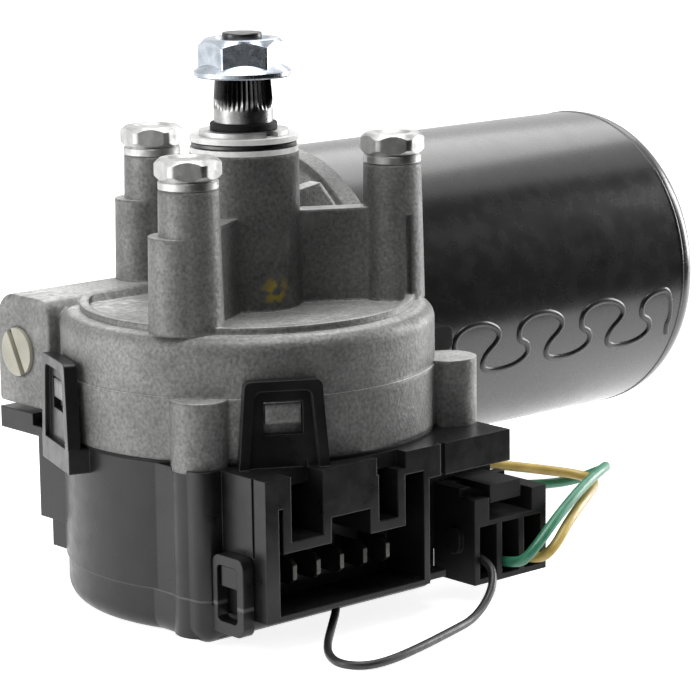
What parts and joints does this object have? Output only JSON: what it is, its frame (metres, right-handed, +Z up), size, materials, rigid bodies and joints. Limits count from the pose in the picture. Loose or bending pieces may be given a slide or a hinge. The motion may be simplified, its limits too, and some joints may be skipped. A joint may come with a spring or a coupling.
{
  "type": "wiper motor",
  "caption": "Geared DC motor: a black motor can on a cast worm-gear housing with raised mounting pillars, a serrated output spindle with flange nut, and a plastic cover with blade connector.",
  "frame": {"origin": "on the output spindle's axis, in the plane of the three mounting pillars' tops", "axes": "+Z up the output spindle, +X along the motor can away from the gear housing"},
  "size_m": [0.1483, 0.109, 0.0959],
  "materials": {
    "cast_aluminium": "rough die casting",
    "spindle_steel": "turned, serrated taper darker",
    "bronze": "sintered",
    "gear_plastic": "moulded",
    "brass": "stamped",
    "dark_steel": "hardened",
    "black_rubber": "matt",
    "zinc_steel": "zinc plated, bluish",
    "bolt_steel": "zinc plated, dull",
    "ivory_plastic": "moulded nylon",
    "core_steel": "stamped laminations",
    "copper": "enamelled",
    "black_enamel": "semi-gloss black enamel",
    "ferrite": "ground ferrite",
    "black_plastic": "moulded, semi-matt",
    "carbon": "pressed carbon",
    "board_green": "lacquered board",
    "tinned_brass": "tinned",
    "grey_plastic": "moulded, dark grey",
    "black_wire": "insulation",
    "green_wire": "insulation",
    "yellow_wire": "insulation"
  },
  "bodies": {
    "housing": {"gear_housing": "cast_aluminium", "thrust_washers": "dark_steel", "wave_washer": "dark_steel", "mounting_bolts": "bolt_steel", "lock_washers": "bolt_steel", "end_play_screw": "ivory_plastic", "thrust_ball": "dark_steel", "front_bearing": "dark_steel", "pilot_bush": "bronze", "rear_bush": "bronze", "bush_retainer": "dark_steel", "motor_can": "black_enamel", "can_end_cap": "black_enamel", "magnets": "ferrite", "magnet_clips": "dark_steel", "brush_plate": "black_plastic", "brushes": "carbon", "brush_springs": "brass", "chokes": "copper", "lead_grommet": "black_rubber", "gear_cover": "black_plastic", "cover_gasket": "black_rubber", "contact_springs": "brass", "circuit_board": "board_green", "board_relay": "black_plastic", "board_capacitor": "black_plastic", "blade_terminals": "tinned_brass", "cover_lid": "black_plastic", "cover_screws": "zinc_steel", "motor_plug": "grey_plastic", "header_pins": "tinned_brass", "upper_bush": "bronze", "lower_bush": "bronze", "wire_black": "black_wire", "wire_green": "green_wire", "wire_yellow": "yellow_wire"},
    "armature": {"armature_shaft": "dark_steel", "armature_core": "core_steel", "armature_windings": "copper", "commutator": "copper"},
    "output": {"output_spindle": "spindle_steel", "worm_wheel": "gear_plastic", "park_disc": "brass", "retaining_ring": "dark_steel", "spindle_seal": "black_rubber", "flange_nut": "zinc_steel"}
  },
  "joints": [
    {"name": "armature_spin", "type": "hinge", "parent": "housing", "child": "armature", "pos_m": [0, 0.028, -0.0316], "axis": [1, 0, 0], "continuous": true},
    {"name": "output_spin", "type": "hinge", "parent": "housing", "child": "output", "pos_m": [0, 0, 0], "axis": [0, 0, 1], "continuous": true}
  ],
  "couplings": [
    {"joint": "output_spin", "follows": "armature_spin", "ratio": 0.018519}
  ]
}
